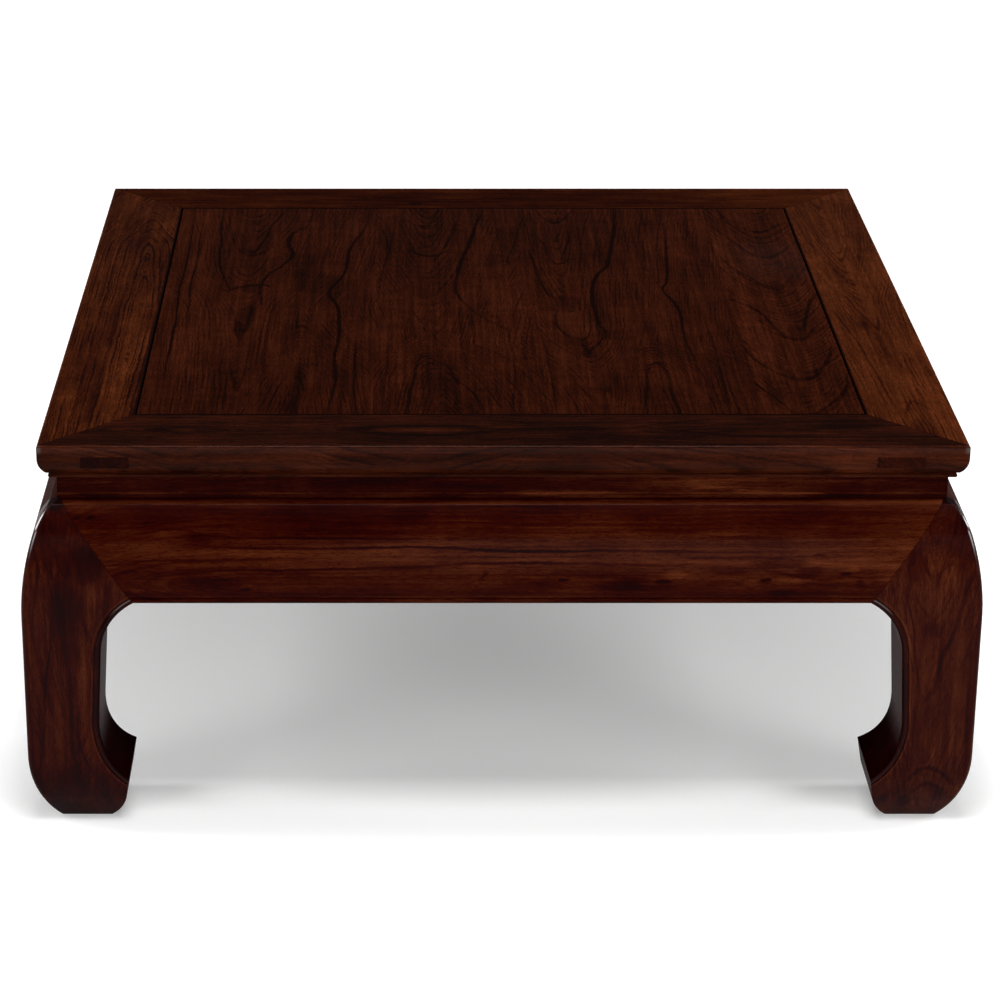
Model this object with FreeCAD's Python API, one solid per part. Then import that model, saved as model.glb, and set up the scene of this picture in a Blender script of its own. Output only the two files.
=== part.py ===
import FreeCAD, Part
import math
import os

from FreeCAD import Vector

# A low square table of East Asian form, all in hardwood: a mitred top frame around a floating
# panel of edge-joined boards, a narrow waist, four swelling aprons, and four legs that swell
# with them and end in inward hoof feet. Every piece is cut and joined as a joiner would do it.
#
# Millimetres. The origin is on the floor under the centre of the top, +Z is up and the front
# of the table faces -Y. Pieces are drawn in one corner, where X and Y are distances inward
# from the edges of the top, and are mirrored and centred at the end.

# Whole table
top_length = 914.4
top_depth = 914.4
table_height = 406.4

# Fit of the joints, and how far cutting shapes run past what they cut
joint_gap = 0.15
overrun = 20.0

# Top frame: rails with a moulded edge; the side rails' tenons run through the other two
rail_width = 90.0
rail_thickness = 37.0
arris_radius = 2.5
edge_flat_height = 13.5
edge_curve_radius = 24.0
edge_quirk_height = 1.2
lip_height = 4.8
lip_bulge = 1.46
lip_inset = 11.0
frame_tenon_width = 47.0
frame_tenon_thickness = 11.4
frame_tenon_drop = 12.2

# Panel of boards, held by a tongue in the frame's groove
panel_thickness = 15.0
panel_side_gap = 1.8
panel_end_gap = 0.6
panel_groove_drop = 5.5
panel_groove_height = 6.0
panel_groove_depth = 10.0
panel_tongue_hold = 6.5
board_width_shares = (0.324, 0.242, 0.297, 0.137)
board_tongue_length = 5.0
board_tongue_thickness = 3.5
board_groove_room = 0.5

# Battens, which slide along dovetail channels across the boards
batten_count = 3
batten_width = 38.0
batten_height = 19.0
batten_dovetail_height = 4.5
batten_dovetail_neck = 16.0
batten_dovetail_head = 22.0
batten_tenon_width = 24.0
batten_tenon_thickness = 9.0
batten_tenon_length = 14.0
batten_tenon_drop = 20.0
mortise_room = 1.0

# Waist
waist_inset = 17.0
waist_thickness = 13.0
waist_height = 24.0
waist_tongue_setback = 3.5
waist_tongue_thickness = 6.0
waist_tongue_height = 5.0

# Outer side of the legs and aprons, from the floor to the waist
swell = 20.0
foot_inset = 7.4
foot_radius = 130.0
belly_radius = 280.0
belly_rise_share = 0.288
shoulder_radius = 90.0
ledge_width = 8.5
ledge_fall = 3.6
ledge_roll_radius = 4.0
ridge_radius = 4.0

# Inner side of the legs
foot_width = 53.0
toe_reach = 81.5
toe_knee_setback = 3.5
toe_knee_height = 30.0
hoof_height = 119.5
hoof_radius = 85.0
shank_inset = 53.8
shank_lean = 7.0
arch_radius = 62.0
arch_reach = 91.5

# Aprons, and the joint where they meet the legs
apron_height = 98.9
mitre_setback = 3.5
stub_start = 14.0
stub_width = 36.0
stub_thickness = 7.0
stub_setback = 15.0
key_depth = 8.0
key_root_width = 9.0
key_head_width = 13.0
key_height = 42.0
key_drop = 7.0
key_setback = 8.5

# Leg tenons in the top frame
leg_tenon_thickness = 10.0
leg_tenon_width = 11.5
leg_tenon_margin = 1.5
short_tenon_height = 9.0
long_tenon_height = 20.0

# Bead along the aprons' lower edges and the legs' inner edges
bead_width = 5.5
bead_radius = 2.5
quirk_width = 1.2
quirk_depth = 1.2

# Heights and places that follow from the sizes above
frame_base = table_height - rail_thickness
waist_foot = frame_base - waist_height
apron_foot = waist_foot - apron_height
waist_back = waist_inset + waist_thickness
panel_base = table_height - panel_thickness
groove_top = table_height - panel_groove_drop
groove_base = groove_top - panel_groove_height
clear_length = top_length - 2 * rail_width
clear_depth = top_depth - 2 * rail_width


# Plane geometry: a point is a pair, across and up
def along(start, direction, distance):
    return (start[0] + direction[0] * distance, start[1] + direction[1] * distance)


def unit(start, end):
    span = math.dist(start, end)
    return ((end[0] - start[0]) / span, (end[1] - start[1]) / span)


def circle_on_line(centre, radius, point, direction, side):
    """Where a line crosses a circle: side is 1 for the crossing further along, -1 for the other."""
    offset = (point[0] - centre[0], point[1] - centre[1])
    half = offset[0] * direction[0] + offset[1] * direction[1]
    rest = offset[0] ** 2 + offset[1] ** 2 - radius**2
    return along(point, direction, -half + side * math.sqrt(half**2 - rest))


# Solids from outlines
def across_x(point):
    return Vector(0, point[0], point[1])


def across_y(point):
    return Vector(point[0], 0, point[1])


def in_plan(point):
    return Vector(point[0], point[1], 0)


def outline_face(start, steps, place):
    """A face from a start point and steps: an end point, or an end point and its arc's centre."""
    edges = []
    here = start
    for step in list(steps) + [start]:
        if isinstance(step[0], tuple):
            end, centre = step
            toward = (here[0] + end[0] - 2 * centre[0], here[1] + end[1] - 2 * centre[1])
            middle = along(centre, unit((0, 0), toward), math.dist(centre, end))
            edges.append(Part.Arc(place(here), place(middle), place(end)).toShape())
        else:
            end = step
            edges.append(Part.LineSegment(place(here), place(end)).toShape())
        here = end
    return Part.Face(Part.Wire(edges))


def prism(start, steps, place, direction, low, high):
    face = outline_face(start, steps, place)
    face.translate(direction * low)
    return face.extrude(direction * (high - low))


def prism_x(start, steps, low, high):
    return prism(start, steps, across_x, Vector(1, 0, 0), low, high)


def prism_y(start, steps, low, high):
    return prism(start, steps, across_y, Vector(0, 1, 0), low, high)


def prism_z(start, steps, low, high):
    return prism(start, steps, in_plan, Vector(0, 0, 1), low, high)


def block(low, high):
    size = Vector(*high) - Vector(*low)
    return Part.makeBox(size.x, size.y, size.z, Vector(*low))


def swap_sides(shape):
    """Mirrors a corner shape across the corner's diagonal: what faced front now faces left."""
    return shape.mirror(Vector(0, 0, 0), Vector(1, -1, 0))


def far_end(shape, length):
    """Mirrors a shape along X to the other end of a piece of this length."""
    return shape.mirror(Vector(length / 2, 0, 0), Vector(1, 0, 0))


def at_both_ends(shape, length):
    return [shape, far_end(shape, length)]


def mitred(length, near, far, low, high):
    """The plan of a mitred frame side between two distances from the edge, as a solid."""
    return prism_z((near, near), [(length - near, near), (length - far, far), (far, far)], low, high)


# Outer side: foot arc, straight drum, belly, shoulder, roll and the ledge under the waist
foot_centre = (
    foot_radius - swell,
    math.sqrt(foot_radius**2 - (foot_radius - swell - foot_inset) ** 2),
)
ledge_corner = (waist_inset - ledge_width, waist_foot - ledge_fall)
ledge_end = (waist_inset, waist_foot)
belly_slope = (math.sqrt(1 - belly_rise_share**2), -belly_rise_share)
belly_centre_inset = belly_radius - swell
shoulder_centre_inset = belly_centre_inset - (belly_radius - shoulder_radius) * belly_slope[0]
shoulder_centre = circle_on_line(
    ledge_corner, shoulder_radius, (shoulder_centre_inset, waist_foot), (0, 1), -1
)
belly_centre = along(shoulder_centre, belly_slope, belly_radius - shoulder_radius)
belly_height = belly_centre[1]
belly_end = along(belly_centre, unit(belly_centre, shoulder_centre), belly_radius)
ledge_line = unit(ledge_corner, ledge_end)
ledge_inward = (ledge_line[1], -ledge_line[0])
roll_centre = circle_on_line(
    shoulder_centre,
    shoulder_radius - ledge_roll_radius,
    along(ledge_corner, ledge_inward, ledge_roll_radius),
    ledge_line,
    -1,
)
shoulder_end = along(shoulder_centre, unit(shoulder_centre, roll_centre), shoulder_radius)
ledge_start = along(roll_centre, ledge_inward, -ledge_roll_radius)
upper_side = [
    (belly_end, belly_centre),
    (shoulder_end, shoulder_centre),
    (ledge_start, roll_centre),
    ledge_end,
]
foot_point = (foot_inset, 0)
outer_side = [((-swell, foot_centre[1]), foot_centre), (-swell, belly_height)] + upper_side

# Inner side: arch, shank and hoof
shank_foot = (shank_inset, hoof_height)
shank_up = unit(shank_foot, (shank_inset + shank_lean, apron_foot))
shank_open = (shank_up[1], -shank_up[0])
arch_end = (arch_reach, apron_foot)
arch_centre = circle_on_line(
    arch_end, arch_radius, along(shank_foot, shank_open, arch_radius), shank_up, -1
)
shank_top = along(arch_centre, shank_open, -arch_radius)
post_inner = shank_top[0]
hoof_centre = along(shank_foot, shank_open, hoof_radius)
toe_knee = (toe_reach - toe_knee_setback, toe_knee_height)
toe_tip = circle_on_line(hoof_centre, hoof_radius, (toe_reach, 0), (0, 1), -1)
toe_down = unit(toe_tip, toe_knee)
toe_inward = (toe_down[1], -toe_down[0])
toe_end = (foot_inset + foot_width, 0)
toe_chord = (toe_end[0] - toe_knee[0], toe_end[1] - toe_knee[1])
toe_radius = (toe_chord[0] ** 2 + toe_chord[1] ** 2) / (
    2 * (toe_inward[0] * toe_chord[0] + toe_inward[1] * toe_chord[1])
)
toe_centre = along(toe_knee, toe_inward, toe_radius)

# The mitre between leg and apron, seen from the front
mitre_top = (waist_inset + mitre_setback, waist_foot)
mitre_up = unit(arch_end, mitre_top)


def mitre_at(inset):
    """The point of the mitre line at this distance from the edge of the top."""
    return along(arch_end, mitre_up, (inset - arch_end[0]) / mitre_up[0])


post_meet = mitre_at(post_inner)


# Bead and quirk
def opening(growth):
    """The open space under the apron and inside the leg, grown by this much, in front view."""
    top = apron_foot + growth
    far = arch_reach + overrun
    arch_start = circle_on_line(arch_centre, arch_radius + growth, (arch_reach, top), (1, 0), -1)
    shank_high = along(shank_top, shank_open, -growth)
    shank_low = along(shank_foot, shank_open, -growth)
    tip = circle_on_line(hoof_centre, hoof_radius + growth, (toe_reach, 0), (0, 1), -1)
    steps = [arch_start, (shank_high, arch_centre), shank_low, (tip, hoof_centre), (far, tip[1])]
    return prism_y((far, top), steps, -swell - overrun, waist_back)


def face_skin(low, high):
    """The outermost layer of the swelling face between two places along X, as deep as the quirk."""
    steps = outer_side + [(waist_back, waist_foot), (waist_back, 0)]
    whole = prism_x(foot_point, steps, low, high)
    core = whole.copy()
    core.translate(Vector(0, quirk_depth, 0))
    return whole.cut(core)


def leg_quirk():
    ring = opening(bead_width + quirk_width).cut(opening(bead_width))
    return ring.common(face_skin(0, arch_reach + overrun))


def apron_quirk(length):
    low = apron_foot + bead_width
    band = block((0, -swell - overrun, low), (length, waist_back, low + quirk_width))
    return band.common(face_skin(0, length))


# Joint of leg and apron
def above_mitre():
    """The space of an apron's left end: above the mitre line and in front of the diagonal."""
    below = along(arch_end, mitre_up, -overrun)
    above = along(mitre_top, mitre_up, overrun)
    far = arch_reach + overrun
    front = -swell - overrun
    side = prism_y(below, [above, (far, above[1]), (far, below[1])], front, waist_back)
    plan = prism_z((front, front), [(far, front), (far, far)], 0, table_height)
    return side.common(plan)


def stub():
    """The triangular stub tenon on an apron's end, below the mitre line."""
    high = mitre_at(mitre_top[0] + stub_start)
    low = mitre_at(mitre_top[0] + stub_start + stub_width)
    back = waist_back - stub_setback
    return prism_y(high, [low, (high[0], low[1])], back - stub_thickness, back)


def stub_mortise():
    shape = stub()
    for shift in (Vector(0, joint_gap, 0), Vector(0, -joint_gap, 0), Vector(-joint_gap, 0, -joint_gap)):
        moved = shape.copy()
        moved.translate(shift)
        shape = shape.fuse(moved)
    return shape


def key(growth):
    """The hanging dovetail key on the leg's post; grown, it is the slot in the apron's back."""
    middle = waist_back + key_setback + key_head_width / 2
    root = key_root_width / 2 + growth
    head = key_head_width / 2 + growth
    front = waist_back - key_depth - growth
    top = waist_foot - key_drop
    start = (middle - root, waist_back)
    steps = [(middle - head, front), (middle + head, front), (middle + root, waist_back)]
    return prism_z(start, steps, top - key_height, top + growth)


# Legs
def leg_tenon(growth, height):
    """A tenon on the top of a leg's post, beside the front; grown, it is the mortise."""
    near = waist_back + leg_tenon_margin - growth
    far = post_inner - leg_tenon_margin + growth
    width = leg_tenon_width + 2 * growth
    thickness = leg_tenon_thickness + 2 * growth
    return block((far - width, near, frame_base), (far, near + thickness, frame_base + height))


def straight_edges(solid, point, direction, distance):
    """The solid's straight edges with this direction at this distance from a point's line."""
    chosen = []
    for edge in solid.Edges:
        ends = [vertex.Point for vertex in edge.Vertexes]
        if len(ends) < 2 or not isinstance(edge.Curve, Part.Line):
            continue
        parallel = (ends[1] - ends[0]).normalize().cross(direction).Length < joint_gap / top_length
        off_line = abs((ends[0] - point).cross(direction).Length - distance)
        if parallel and off_line < joint_gap / 2:
            chosen.append(edge)
    return chosen


def ease(solid, point, direction, radius):
    """Rounds the sharp edge along a line, and all that runs on smoothly from it, in three flats."""
    first = radius * (2 - math.sqrt(2))
    second = radius * (math.tan(math.pi / 8) - math.tan(math.pi / 16))
    solid = solid.makeChamfer(first, straight_edges(solid, point, direction, 0))
    return solid.makeChamfer(second, straight_edges(solid, point, direction, first))


def leg():
    """The front left leg."""
    inner_side = [
        (post_inner, waist_foot),
        post_meet,
        arch_end,
        (shank_top, arch_centre),
        shank_foot,
        (toe_tip, hoof_centre),
        toe_knee,
        (toe_end, toe_centre),
    ]
    sawn = prism_y(foot_point, outer_side + inner_side, -swell - overrun, arch_reach + overrun)
    solid = sawn.common(swap_sides(sawn))
    solid = ease(solid, Vector(-swell, -swell, 0), Vector(0, 0, 1), ridge_radius)
    up = Vector(shank_up[0], 0, shank_up[1])
    solid = ease(solid, Vector(shank_inset, -swell, hoof_height), up, bead_radius)
    up = Vector(0, shank_up[0], shank_up[1])
    solid = ease(solid, Vector(-swell, shank_inset, hoof_height), up, bead_radius)
    relief = block(
        (post_inner, waist_back, shank_top[1]),
        (arch_reach + overrun, arch_reach + overrun, post_meet[1] + overrun),
    )
    for waste in (relief, above_mitre(), stub_mortise(), leg_quirk()):
        solid = solid.cut([waste, swap_sides(waste)])
    post = block((waist_back, waist_back, waist_foot), (post_inner, post_inner, frame_base))
    tenons = [leg_tenon(0, short_tenon_height), swap_sides(leg_tenon(0, long_tenon_height))]
    return solid.fuse([post, key(0), swap_sides(key(0))] + tenons).removeSplitter()


# Aprons and waist
def apron(length):
    """An apron along the front, for a side of the top of this length."""
    face_foot = circle_on_line(belly_centre, belly_radius, (0, apron_foot + bead_radius), (1, 0), -1)
    bead_centre = (face_foot[0] + bead_radius, face_foot[1])
    section = prism_x(
        (bead_centre[0], apron_foot),
        [(face_foot, bead_centre)] + upper_side + [(waist_back, waist_foot), (waist_back, apron_foot)],
        0,
        length,
    )
    end = above_mitre()
    middle = block(
        (arch_reach + overrun, -swell - overrun, 0),
        (length - arch_reach - overrun, waist_back, table_height),
    )
    solid = section.common(end.fuse([middle, far_end(end, length)]))
    solid = solid.cut([apron_quirk(length)] + at_both_ends(key(joint_gap), length))
    return solid.fuse(at_both_ends(stub(), length)).removeSplitter()


def waist(length):
    """The waist strip above an apron, with a tongue for the groove under the rail."""
    strip = mitred(length, waist_inset, waist_back, waist_foot, frame_base)
    near = waist_inset + waist_tongue_setback
    tongue = mitred(length, near, near + waist_tongue_thickness, frame_base,
                    frame_base + waist_tongue_height)
    return strip.fuse(tongue).removeSplitter()


# Top frame
def batten_places():
    return [rail_width + clear_depth * (number + 0.5) / batten_count for number in range(batten_count)]


def rail(length, leg_mortise_height):
    """A rail along the front, with its moulded edge, its grooves and the legs' mortises."""
    curve_foot_drop = rail_thickness - lip_height - edge_quirk_height
    curve_centre = (edge_curve_radius, table_height - edge_flat_height)
    curve_foot = circle_on_line(
        curve_centre, edge_curve_radius, (0, table_height - curve_foot_drop), (1, 0), -1
    )
    lip_top = frame_base + lip_height
    lip_radius = ((lip_height / 2) ** 2 + lip_bulge**2) / (2 * lip_bulge)
    lip_centre = (lip_inset - lip_bulge + lip_radius, frame_base + lip_height / 2)
    tongue_near = waist_inset + waist_tongue_setback - joint_gap
    tongue_far = tongue_near + waist_tongue_thickness + 2 * joint_gap
    tongue_top = frame_base + waist_tongue_height + joint_gap
    groove_floor = rail_width - panel_groove_depth
    section = prism_x(
        (rail_width, table_height),
        [
            (arris_radius, table_height),
            ((0, table_height - arris_radius), (arris_radius, table_height - arris_radius)),
            (0, table_height - edge_flat_height),
            (curve_foot, curve_centre),
            (lip_inset, curve_foot[1]),
            (lip_inset, lip_top),
            ((lip_inset, frame_base), lip_centre),
            (tongue_near, frame_base),
            (tongue_near, tongue_top),
            (tongue_far, tongue_top),
            (tongue_far, frame_base),
            (rail_width, frame_base),
            (rail_width, groove_base),
            (groove_floor, groove_base),
            (groove_floor, groove_top),
            (rail_width, groove_top),
        ],
        0,
        length,
    )
    solid = section.common(mitred(length, 0, rail_width, frame_base, table_height))
    mortise = leg_tenon(joint_gap, leg_mortise_height + mortise_room)
    return solid.cut(at_both_ends(mortise, length))


def frame_tenon(growth):
    """A side rail's through tenon, drawn on the left end of a rail along the front."""
    top = table_height - frame_tenon_drop
    near = rail_width - frame_tenon_width
    return block(
        (0, near - growth, top - frame_tenon_thickness - growth),
        (rail_width, rail_width + growth, top + growth),
    )


def front_rail():
    mortise = swap_sides(frame_tenon(joint_gap))
    return rail(top_length, short_tenon_height).cut(at_both_ends(mortise, top_length))


def side_rail():
    solid = rail(top_depth, long_tenon_height)
    solid = solid.fuse(at_both_ends(frame_tenon(0), top_depth)).removeSplitter()
    solid = solid.cut([batten_tenon(place, joint_gap, mortise_room) for place in batten_places()])
    return swap_sides(solid)


def batten_tenon(place, growth, room):
    """A batten's tenon in the left rail, drawn on a rail along the front."""
    top = table_height - batten_tenon_drop + growth
    half = batten_tenon_width / 2 + growth
    return block(
        (place - half, rail_width - batten_tenon_length - room,
         top - batten_tenon_thickness - 2 * growth),
        (place + half, rail_width, top),
    )


# Panel
def batten_dovetail(place, growth, low, high):
    """A batten's dovetail ridge; grown, it is the channel in the boards."""
    neck = batten_dovetail_neck / 2 + growth
    head = batten_dovetail_head / 2 + growth
    top = panel_base + batten_dovetail_height + growth
    steps = [(place - head, top), (place + head, top), (place + neck, panel_base)]
    return prism_x((place - neck, panel_base), steps, low, high)


def batten(place):
    low = rail_width + joint_gap
    high = top_length - low
    half = batten_width / 2
    bar = block((low, place - half, panel_base - batten_height), (high, place + half, panel_base))
    tenon = swap_sides(batten_tenon(place, 0, 0))
    joined = block((rail_width, place - batten_tenon_width / 2,
                    table_height - batten_tenon_drop - batten_tenon_thickness),
                   (low, place + batten_tenon_width / 2, table_height - batten_tenon_drop))
    tenon = tenon.fuse(joined)
    ridge = batten_dovetail(place, 0, low, high)
    return bar.fuse([ridge] + at_both_ends(tenon, top_length)).removeSplitter()


def board(low_share, high_share):
    """A panel board between two shares of the panel's width."""
    left = rail_width + panel_side_gap
    width = clear_length - 2 * panel_side_gap
    low = left + width * low_share
    high = left + width * high_share
    front = rail_width + panel_end_gap
    back = top_depth - front
    hold = panel_tongue_hold
    tongue_low = groove_base + joint_gap
    tongue_high = groove_top - joint_gap
    first = low_share == 0
    last = high_share == 1
    solid = block((low, front, panel_base), (high, back, table_height))
    solid = solid.fuse(block(
        (low - hold * first, front - hold, tongue_low),
        (high + hold * last, back + hold, tongue_high),
    ))
    middle = (tongue_low + tongue_high) / 2
    half = board_tongue_thickness / 2
    if not last:
        solid = solid.fuse(block(
            (high, front - hold, middle - half),
            (high + board_tongue_length, back + hold, middle + half),
        ))
    if not first:
        solid = solid.cut(block(
            (low, front - hold, middle - half - joint_gap),
            (low + board_tongue_length + board_groove_room, back + hold, middle + half + joint_gap),
        ))
    channels = [batten_dovetail(place, joint_gap, 0, top_length) for place in batten_places()]
    return solid.removeSplitter().cut(channels)


def boards():
    shares = [0]
    for share in board_width_shares:
        shares.append(shares[-1] + share / sum(board_width_shares))
    shares[-1] = 1
    return [board(low, high) for low, high in zip(shares, shares[1:])]


# All the pieces, where they belong
def to_right(shape):
    return shape.mirror(Vector(top_length / 2, 0, 0), Vector(1, 0, 0))


def to_back(shape):
    return shape.mirror(Vector(0, top_depth / 2, 0), Vector(0, 1, 0))


pieces = {}
corner_leg = leg()
pieces["leg_front_left"] = corner_leg
pieces["leg_front_right"] = to_right(corner_leg)
pieces["leg_back_left"] = to_back(corner_leg)
pieces["leg_back_right"] = to_back(to_right(corner_leg))
for name, front, side in (
    ("rail", front_rail(), side_rail()),
    ("waist", waist(top_length), swap_sides(waist(top_depth))),
    ("apron", apron(top_length), swap_sides(apron(top_depth))),
):
    pieces[name + "_front"] = front
    pieces[name + "_back"] = to_back(front)
    pieces[name + "_left"] = side
    pieces[name + "_right"] = to_right(side)
for number, shape in enumerate(boards(), 1):
    pieces[f"panel_board_{number}"] = shape
for number, place in enumerate(batten_places(), 1):
    pieces[f"batten_{number}"] = batten(place)

os.makedirs("parts", exist_ok=True)
for name, shape in pieces.items():
    shape.translate(Vector(-top_length / 2, -top_depth / 2, 0))
    solid = shape.Solids[0]
    print(f"{name}: {len(shape.Solids)} solid, valid {shape.isValid()}, {shape.Volume:.0f} cubic mm")
    solid.exportStep(f"parts/{name}.step")
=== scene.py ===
# %% [markdown]
# # A low hardwood table, dressed in Blender
# The joiner's work is done: every rail, board, apron and leg comes from the CAD frame at its
# real size and place. What is left is what a finisher does. Each piece gets the figure of the
# plank it was cut from, its pores, its polish and its wear, and the table is set on a pale
# studio floor.

# %% Load the frame
import bpy
import math
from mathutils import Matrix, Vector

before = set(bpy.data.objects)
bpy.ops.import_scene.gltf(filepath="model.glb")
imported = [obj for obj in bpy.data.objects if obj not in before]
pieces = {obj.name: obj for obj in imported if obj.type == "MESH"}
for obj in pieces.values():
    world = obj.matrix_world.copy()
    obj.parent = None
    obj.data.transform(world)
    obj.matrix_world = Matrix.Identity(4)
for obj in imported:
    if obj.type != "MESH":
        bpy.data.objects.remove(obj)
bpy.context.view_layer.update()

scene = bpy.context.scene
scene.view_settings.view_transform = "Standard"
print("pieces of the table:", len(pieces))

# %% [markdown]
# ## The camera
# The photograph looks down at the front of the table with a long lens, and the table sits off
# the lens's axis, to the right. One could move the camera sideways, but that would turn the
# verticals; a small sideways shift of the picture keeps both the place and the straight legs.

# %% Camera
camera_data = bpy.data.cameras.new("camera")
camera_data.sensor_width = 36.0
camera_data.lens = 113.94
camera_data.shift_x = 0.0974
camera = bpy.data.objects.new("camera", camera_data)
camera.location = (-0.0985, -3.3544, 1.4940)
camera.rotation_euler = (math.radians(90 - 21.5545), 0, 0)
scene.collection.objects.link(camera)
scene.camera = camera
print("camera:", [round(v, 3) for v in camera.location], "lens", camera_data.lens, "mm")

# %% [markdown]
# ## Writing shaders as sums
# A shader is a graph of nodes, and drawing thirty of them by hand hides the idea. Here a small
# class stands for the output of a node. Adding, subtracting or multiplying two of them adds the
# Math node that does it, so a figure in the wood can be written down as the formula it is.

# %% A socket that can be reckoned with
class Link:
    """The output of a node; arithmetic on it adds Math nodes."""

    def __init__(self, shader, socket):
        self.shader = shader
        self.socket = socket

    def math(self, operation, *values):
        return self.shader.node("Math", {"operation": operation}, dict(enumerate(values)))

    def __add__(self, other):
        return self.math("ADD", self, other)

    def __radd__(self, other):
        return self.math("ADD", other, self)

    def __sub__(self, other):
        return self.math("SUBTRACT", self, other)

    def __rsub__(self, other):
        return self.math("SUBTRACT", other, self)

    def __mul__(self, other):
        return self.math("MULTIPLY", self, other)

    def __rmul__(self, other):
        return self.math("MULTIPLY", other, self)

    def __pow__(self, other):
        return self.math("POWER", self, other)

    def __abs__(self):
        return self.math("ABSOLUTE", self)

    def most(self, other):
        return self.math("MAXIMUM", self, other)

    def least(self, other):
        return self.math("MINIMUM", self, other)


print("a link can do:", [name.strip("_") for name, act in vars(Link).items() if callable(act)])

# %% A graph of nodes, with one method that adds any node
class Shader:
    """The nodes of a material, or of the world."""

    def __init__(self, owner):
        owner.use_nodes = True
        self.nodes = owner.node_tree.nodes
        self.links = owner.node_tree.links
        self.nodes.clear()

    def node(self, kind, settings, values, output=0):
        """Adds a node of this type with its settings first, then its sockets' values or links."""
        made = self.nodes.new("ShaderNode" + kind)
        for name, setting in settings.items():
            if name == "stops":
                self.set_stops(made.color_ramp, setting)
            elif name == "curve":
                self.set_curve(made.mapping, setting)
            else:
                setattr(made, name, setting)
        for name, value in values.items():
            if isinstance(value, Link):
                self.links.new(value.socket, made.inputs[name])
            else:
                made.inputs[name].default_value = value
        return Link(self, made.outputs[output]) if made.outputs else made

    def set_stops(self, ramp, stops):
        while len(ramp.elements) < len(stops):
            ramp.elements.new(0.5)
        for element, (place, shade) in zip(ramp.elements, stops):
            element.position = place
            element.color = (shade, shade, shade, 1) if isinstance(shade, float) else (*shade, 1)

    def set_curve(self, mapping, points):
        curve = mapping.curves[0]
        while len(curve.points) < len(points):
            curve.points.new(0.5, 0.5)
        for point, place in zip(curve.points, points):
            point.location = place
        mapping.update()


print("one method adds any node:", Shader.node.__doc__)

# %% Axes, steps and greys
def axes(vector):
    """The three axes of a vector, each as a link."""
    split = vector.shader.node("SeparateXYZ", {}, {"Vector": vector})
    return [Link(vector.shader, out) for out in split.socket.node.outputs]


def joined(parts):
    return parts[0].shader.node("CombineXYZ", {}, dict(enumerate(parts)))


def step(value, low, high):
    """0 below the low end, 1 above the high end, and a soft way between."""
    return value.shader.node("MapRange", {"interpolation_type": "SMOOTHSTEP"},
                             {"Value": value, "From Min": low, "From Max": high})


def hairline(value, width):
    """1 where a value is 0, falling to 0 at this width on both sides."""
    return 1 - step(abs(value), width * 0.25, width)


def grey(level):
    return level.shader.node("CombineColor", {}, {0: level, 1: level, 2: level})


print("helpers:", [helper.__name__ for helper in (axes, joined, step, hairline, grey)])

# %% [markdown]
# ## The studio floor
# The table stands on a seamless pale sheet that the photograph shows as pure white, with a soft
# grey shadow under the table. A white floor alone would need so much lamp light that the dark
# wood would wash out. So the sheet glows a little by itself, only for what looks at it directly
# or in a reflection; the lamps add the rest, and where the table blocks them the glow is the
# shadow's grey. Away from the table the glow grows to full white, as a lit sweep of paper would.

# %% Floor
SHEET_WIDTH = 90.0
SHADOW_GLOW, RIM_GLOW, FAR_GLOW = 0.25, 0.64, 1.0
RIM_FROM, RIM_TO = 0.46, 0.62
FAR_FROM, FAR_TO = 1.2, 5.0

bpy.ops.mesh.primitive_plane_add(size=SHEET_WIDTH)
floor = bpy.context.object
floor.name = "floor"
floor_finish = bpy.data.materials.new("pale_studio_sheet")
sheet = Shader(floor_finish)
seen = sheet.node("LightPath", {}, {}).socket.node.outputs
looked_at = Link(sheet, seen["Is Camera Ray"]).most(Link(sheet, seen["Is Glossy Ray"]))
looked_at = looked_at.most(Link(sheet, seen["Is Transmission Ray"]))
across, back, _ = axes(sheet.node("TexCoord", {}, {}, output="Object"))
distance = abs(across).most(abs(back))
rim = step(distance, RIM_FROM, RIM_TO) * (RIM_GLOW - SHADOW_GLOW) + SHADOW_GLOW
far = step(distance, FAR_FROM, FAR_TO) * (FAR_GLOW - RIM_GLOW)
lit = sheet.node("BsdfDiffuse", {}, {"Color": (0.8, 0.8, 0.8, 1)})
shine = sheet.node("Emission", {}, {"Color": grey((rim + far) * looked_at), "Strength": 1.0})
both = sheet.node("AddShader", {}, {0: lit, 1: shine})
sheet.node("OutputMaterial", {}, {"Surface": both})
floor.data.materials.append(floor_finish)
print("floor:", SHEET_WIDTH, "m wide, glow in the shadow", SHADOW_GLOW)

# %% [markdown]
# ## Light
# The polish on the real table shows one thing clearly: the room above and in front of it is
# bright and the room behind it is dark, or the top would be a grey mirror. So the world is a dim
# room with a pale ceiling, one big soft lamp hangs overhead, a wide one stands low by the camera
# for the faces of the legs and aprons, and two strips at the sides draw the bright rims on the
# shoulders.

# %% Room
WALL_LEVEL, CEILING_LEVEL = 0.055, 0.35
CEILING_FROM, CEILING_TO = 0.60, 0.95

room = bpy.data.worlds.new("studio_room")
scene.world = room
air = Shader(room)
*_, upward = axes(air.node("TexCoord", {}, {}, output="Generated"))
level = WALL_LEVEL + step(upward, CEILING_FROM, CEILING_TO) * (CEILING_LEVEL - WALL_LEVEL)
sky = air.node("Background", {}, {"Color": grey(level), "Strength": 1.0})
air.node("OutputWorld", {}, {"Surface": sky})
print("room: walls", WALL_LEVEL, "ceiling", CEILING_LEVEL)

# %% Lamps
def soft_lamp(name, place, aim, size, power):
    """A flat soft lamp of this width and height, turned towards a point."""
    data = bpy.data.lights.new(name, "AREA")
    data.shape = "RECTANGLE"
    data.size, data.size_y = size
    data.energy = power
    lamp = bpy.data.objects.new(name, data)
    lamp.location = place
    lamp.rotation_euler = (Vector(aim) - Vector(place)).to_track_quat("-Z", "Y").to_euler()
    scene.collection.objects.link(lamp)


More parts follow.
